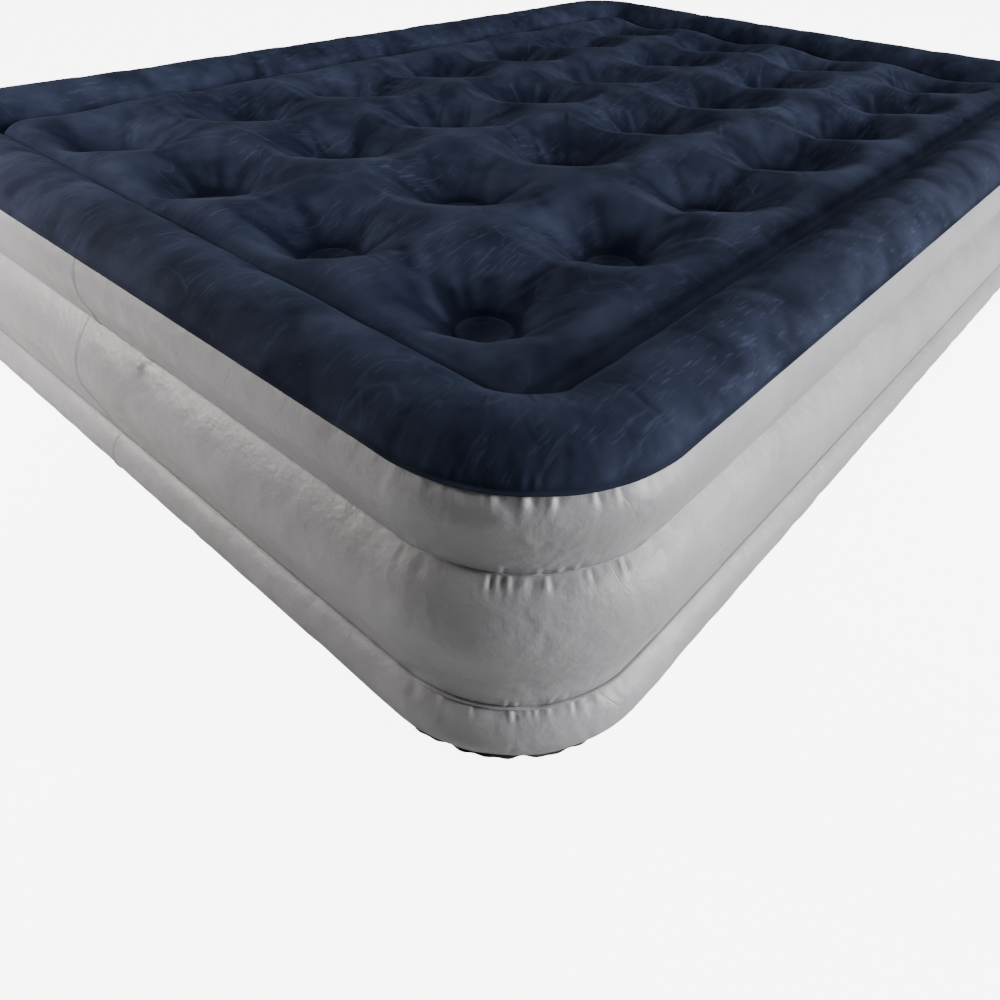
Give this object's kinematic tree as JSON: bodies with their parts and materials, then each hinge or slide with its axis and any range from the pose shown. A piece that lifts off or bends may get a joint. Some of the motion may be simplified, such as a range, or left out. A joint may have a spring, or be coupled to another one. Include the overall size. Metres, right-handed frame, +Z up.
{
  "type": "air mattress",
  "caption": "Raised double air bed with a flocked navy top and rolled rim, grey three-tier walls, inner air coils and a built-in wall pump with dial, port and lidded socket.",
  "frame": {"origin": "on the floor, under the middle of the bed", "axes": "+X along the length towards the head end with the pump, +Y across the bed, +Z up"},
  "size_m": [1.95, 1.4, 0.38],
  "materials": {
    "flock": "flocked",
    "side_pvc": "satin",
    "base_pvc": "matt",
    "inner_pvc": "matt",
    "pump_dark": "fine textured",
    "pump_light": "semi gloss",
    "seal": "matt",
    "steel": "brushed",
    "bush": "sintered"
  },
  "bodies": {
    "mattress": {"flocked_top_sheet": "flock", "upper_side_band": "side_pvc", "middle_side_band": "side_pvc", "lower_side_band": "side_pvc", "bottom_sheet": "base_pvc", "rim_wall": "inner_pvc", "mid_sheet": "inner_pvc", "lower_girdle": "inner_pvc", "upper_air_coils": "inner_pvc", "lower_air_coils": "inner_pvc", "pump_surround": "side_pvc", "faceplate_gasket": "seal", "pump_housing": "pump_dark", "pump_faceplate": "pump_dark", "faceplate_screws": "steel", "cord_tub": "pump_dark", "power_inlet": "pump_dark", "inlet_pins": "steel", "lid_hinge_pin": "steel", "port_duct": "pump_dark", "cap_hinge_pin": "steel", "intake_grille": "pump_dark", "diverter_housing": "pump_dark", "scroll_cover": "pump_dark", "scroll_case": "pump_dark", "motor_bushes": "bush", "motor_body": "steel", "motor_bracket": "steel", "bracket_screws": "steel", "motor_switch": "pump_dark", "motor_leads": "seal", "valve_chamber": "pump_dark", "check_spring": "steel"},
    "lid": {"compartment_lid": "pump_dark"},
    "cap": {"port_cap": "pump_dark", "cap_gasket": "seal"},
    "dial": {"control_dial": "pump_light", "air_diverter": "pump_light", "dial_clip": "steel"},
    "fan": {"impeller": "pump_light", "motor_shaft": "steel"},
    "poppet": {"check_poppet": "pump_light", "poppet_seal": "seal"}
  },
  "joints": [
    {"name": "lid_hinge", "type": "hinge", "parent": "mattress", "child": "lid", "pos_m": [0.9682, -0.4485, 0.164], "axis": [0, 0, -1], "range_deg": [0, 110]},
    {"name": "cap_hinge", "type": "hinge", "parent": "mattress", "child": "cap", "pos_m": [0.9703, -0.246, 0.196], "axis": [0, -1, 0], "range_deg": [0, 120]},
    {"name": "dial_turn", "type": "hinge", "parent": "mattress", "child": "dial", "pos_m": [0.965, -0.316, 0.164], "axis": [1, 0, 0], "range_deg": [-90, 90]},
    {"name": "fan_spin", "type": "hinge", "parent": "mattress", "child": "fan", "pos_m": [0.875, -0.316, 0.164], "axis": [1, 0, 0], "continuous": true},
    {"name": "valve_slide", "type": "slide", "parent": "mattress", "child": "poppet", "axis": [-1, 0, 0], "range_m": [0, 0.006], "stiffness_N_per_m": 60, "deforming": ["check_spring"]}
  ]
}
